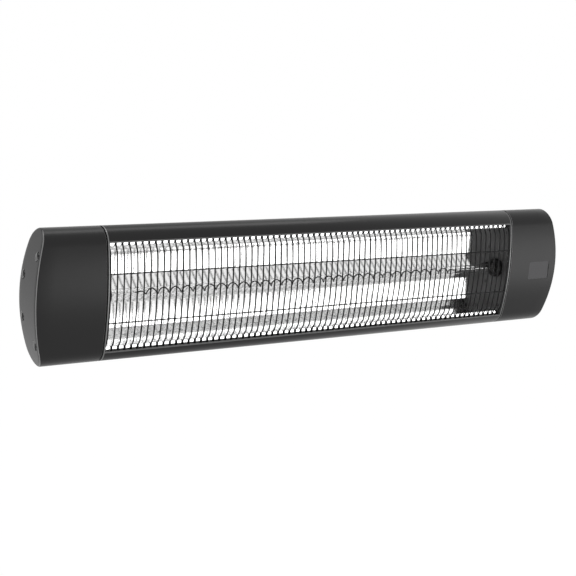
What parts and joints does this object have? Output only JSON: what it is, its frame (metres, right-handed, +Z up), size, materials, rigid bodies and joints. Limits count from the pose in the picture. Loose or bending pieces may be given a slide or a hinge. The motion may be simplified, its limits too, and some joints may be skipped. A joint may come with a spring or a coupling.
{
  "type": "electric bar heater",
  "caption": "Wall-mounted electric bar heater: a lens-section body with a mirror trough, a quartz lamp behind a wire guard, arched end caps and a tilting wall bracket.",
  "frame": {"origin": "centre of the wall bracket's four screw holes, on the wall plane", "axes": "+X to the right seen from the front, along the heater; +Y into the wall; +Z up"},
  "size_m": [0.8704, 0.1107, 0.18],
  "materials": {
    "body_coat": "black powder coat on extruded aluminium",
    "cap_coat": "dark grey powder coat on die-cast caps",
    "bracket_coat": "black powder coat on steel",
    "wire_coat": "black coated steel wire",
    "mirror_sheet": "polished aluminium sheet",
    "plate_metal": "grey coated sheet with a bare cut edge",
    "zinc": "zinc-plated steel",
    "black_steel": "blackened steel",
    "black_rubber": "matt",
    "quartz": "clear quartz glass",
    "carbon": "dark grey heating strand",
    "lead_wire": "bright drawn wire",
    "ceramic": "unglazed white ceramic",
    "holder_black": "black ceramic",
    "wire_sleeve": "braided glass sleeving",
    "window_tint": "grey tinted plastic, satin",
    "board_green": "green solder mask",
    "black_plastic": "black moulded plastic",
    "rocker_black": "black moulded plastic, satin",
    "capacitor_blue": "shrunk blue sleeve",
    "block_cream": "cream moulded plastic",
    "friction_fibre": "brown pressed fibre"
  },
  "bodies": {
    "bracket": {"wall_bracket": "bracket_coat", "pivot_bolts": "zinc", "friction_discs": "friction_fibre", "pivot_washers": "zinc", "pivot_nuts": "zinc"},
    "heater": {"housing": "body_coat", "reflector": "mirror_sheet", "guard_grille": "wire_coat", "end_plate_left": "plate_metal", "end_plate_right": "plate_metal", "plate_screws_left": "zinc", "plate_screws_right": "zinc", "gasket_left": "black_rubber", "gasket_right": "black_rubber", "end_cap_left": "cap_coat", "end_cap_right": "cap_coat", "cap_pillars_left": "zinc", "cap_pillars_right": "zinc", "cap_screws_left": "black_steel", "cap_screws_right": "black_steel", "quartz_tube": "quartz", "filament": "carbon", "lamp_leads": "lead_wire", "lamp_end_left": "ceramic", "lamp_end_right": "ceramic", "lamp_holder_left": "holder_black", "lamp_holder_right": "holder_black", "return_wire": "wire_sleeve", "wire_grommets": "black_rubber", "inner_wires": "wire_sleeve", "receiver_window": "window_tint", "control_board": "board_green", "board_screws": "zinc", "ir_receiver": "black_plastic", "relays": "black_plastic", "capacitor": "capacitor_blue", "terminal_block": "block_cream", "thermal_cutout": "black_plastic", "switch_housing": "black_plastic", "cable_gland": "black_plastic", "gland_nut": "black_plastic", "heater_bracket": "bracket_coat", "rail_nuts": "zinc", "rail_screws": "zinc"},
    "rocker": {"switch_rocker": "rocker_black"}
  },
  "joints": [
    {"name": "tilt", "type": "hinge", "parent": "bracket", "child": "heater", "pos_m": [0, -0.022, 0], "axis": [1, 0, 0], "range_deg": [-35, 35]},
    {"name": "switch_rock", "type": "hinge", "parent": "heater", "child": "rocker", "pos_m": [0.4315, -0.0757, 0], "axis": [0, 1, 0], "range_deg": [0, 20]}
  ]
}
